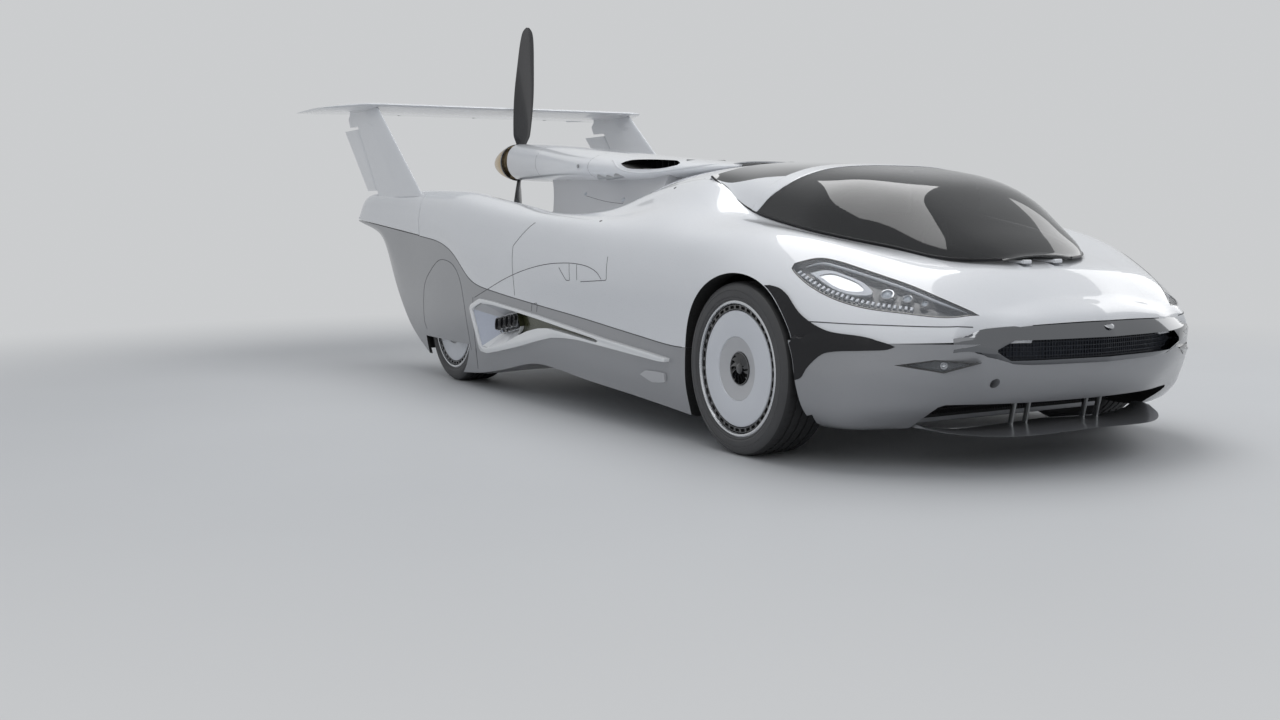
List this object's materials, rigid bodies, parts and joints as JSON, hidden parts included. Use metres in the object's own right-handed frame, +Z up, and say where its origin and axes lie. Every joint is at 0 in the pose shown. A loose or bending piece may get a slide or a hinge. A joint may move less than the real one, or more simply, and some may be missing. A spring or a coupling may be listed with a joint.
{
  "type": "flying car",
  "caption": "Low road body on wheels with a front-hinged bubble canopy, pusher propeller on a spine pod, and a twin-boom tail that slides out for flight",
  "frame": {"origin": "centre of the overall box on the ground", "axes": "+X forward, +Y to the car's left, +Z up"},
  "size_m": [6.03, 2.312, 2.1435],
  "materials": {
    "body_white": "gloss white paint",
    "lower_grey": "satin grey paint",
    "black_trim": "gloss black",
    "chrome": "polished",
    "grille": "dark blue black",
    "lamp": "clear lamp cover",
    "glass_dark": "tinted",
    "trim_bright": "gloss pearl",
    "engine": "cast",
    "seat": "black leather",
    "cabin": "dark grain",
    "steel": "machined",
    "tyre": "matte rubber",
    "rim": "satin silver",
    "blade": "carbon, satin",
    "bronze": "polished bronze"
  },
  "bodies": {
    "body": {"body_side_left": "body_white", "body_side_right": "body_white", "hull_tub": "lower_grey", "fender_left": "body_white", "fender_right": "body_white", "wheel_pods": "lower_grey", "bonnet": "body_white", "nose_lower": "lower_grey", "grille_frame": "chrome", "grille_insert": "grille", "rear_deck": "body_white", "roof_panel": "glass_dark", "roof_scoop": "body_white", "engine_pod": "body_white", "spine_fairing": "body_white", "engine_block": "engine", "headlamps": "lamp", "fog_lamps": "black_trim", "arch_panels": "black_trim", "side_trims": "trim_bright", "side_pipes": "black_trim", "splitter": "body_white", "splitter_struts": "steel", "seats": "seat", "dashboard": "cabin", "steering_yoke": "cabin", "front_suspension": "steel", "rear_axle": "steel"},
    "canopy": {"canopy_glass": "glass_dark", "canopy_frame": "black_trim"},
    "tail": {"tail_booms": "body_white", "tail_beams": "steel", "stabiliser": "body_white", "fins": "body_white"},
    "elevator": {"elevator": "body_white"},
    "rudder_left": {"rudder_left": "body_white"},
    "rudder_right": {"rudder_right": "body_white"},
    "knuckle_left": {"knuckle_left": "steel"},
    "knuckle_right": {"knuckle_right": "steel"},
    "propeller": {"propeller": "blade", "spinner": "bronze"},
    "wheel_front_left": {"tyre_front_left": "tyre", "rim_front_left": "rim"},
    "wheel_front_right": {"tyre_front_right": "tyre", "rim_front_right": "rim"},
    "wheel_rear_left": {"tyre_rear_left": "tyre", "rim_rear_left": "rim"},
    "wheel_rear_right": {"tyre_rear_right": "tyre", "rim_rear_right": "rim"}
  },
  "joints": [
    {"name": "canopy_hinge", "type": "hinge", "parent": "body", "child": "canopy", "pos_m": [2.665, 0, 0.743], "axis": [0, 1, 0], "range_deg": [0, 52]},
    {"name": "tail_slide", "type": "slide", "parent": "body", "child": "tail", "axis": [-0.9967, 0, 0.081], "range_m": [0, 0.75]},
    {"name": "elevator_hinge", "type": "hinge", "parent": "tail", "child": "elevator", "pos_m": [-2.645, 0, 1.622], "axis": [0, 1, 0], "range_deg": [-22, 20]},
    {"name": "rudder_right_hinge", "type": "hinge", "parent": "tail", "child": "rudder_right", "pos_m": [-2.092, -0.91, 1.085], "axis": [-0.6312, 0, 0.7756], "range_deg": [-22, 22]},
    {"name": "rudder_left_hinge", "type": "hinge", "parent": "tail", "child": "rudder_left", "pos_m": [-2.092, 0.91, 1.085], "axis": [-0.6312, 0, 0.7756], "range_deg": [-22, 22]},
    {"name": "steer_right", "type": "hinge", "parent": "body", "child": "knuckle_right", "pos_m": [2.045, -0.8, 0.335], "axis": [0, 0, 1], "range_deg": [-24, 24]},
    {"name": "steer_left", "type": "hinge", "parent": "body", "child": "knuckle_left", "pos_m": [2.045, 0.8, 0.335], "axis": [0, 0, 1], "range_deg": [-24, 24]},
    {"name": "propeller_spin", "type": "hinge", "parent": "body", "child": "propeller", "pos_m": [-1.925, 0, 1.27], "axis": [1, 0, 0], "continuous": true},
    {"name": "spin_front_right", "type": "hinge", "parent": "knuckle_right", "child": "wheel_front_right", "pos_m": [2.045, -0.9, 0.335], "axis": [0, 1, 0], "continuous": true},
    {"name": "spin_rear_right", "type": "hinge", "parent": "body", "child": "wheel_rear_right", "pos_m": [-0.865, -0.85, 0.335], "axis": [0, 1, 0], "continuous": true},
    {"name": "spin_front_left", "type": "hinge", "parent": "knuckle_left", "child": "wheel_front_left", "pos_m": [2.045, 0.9, 0.335], "axis": [0, 1, 0], "continuous": true},
    {"name": "spin_rear_left", "type": "hinge", "parent": "body", "child": "wheel_rear_left", "pos_m": [-0.865, 0.85, 0.335], "axis": [0, 1, 0], "continuous": true}
  ],
  "couplings": [
    {"joint": "steer_left", "follows": "steer_right", "ratio": 1},
    {"joint": "rudder_left_hinge", "follows": "rudder_right_hinge", "ratio": 1}
  ]
}
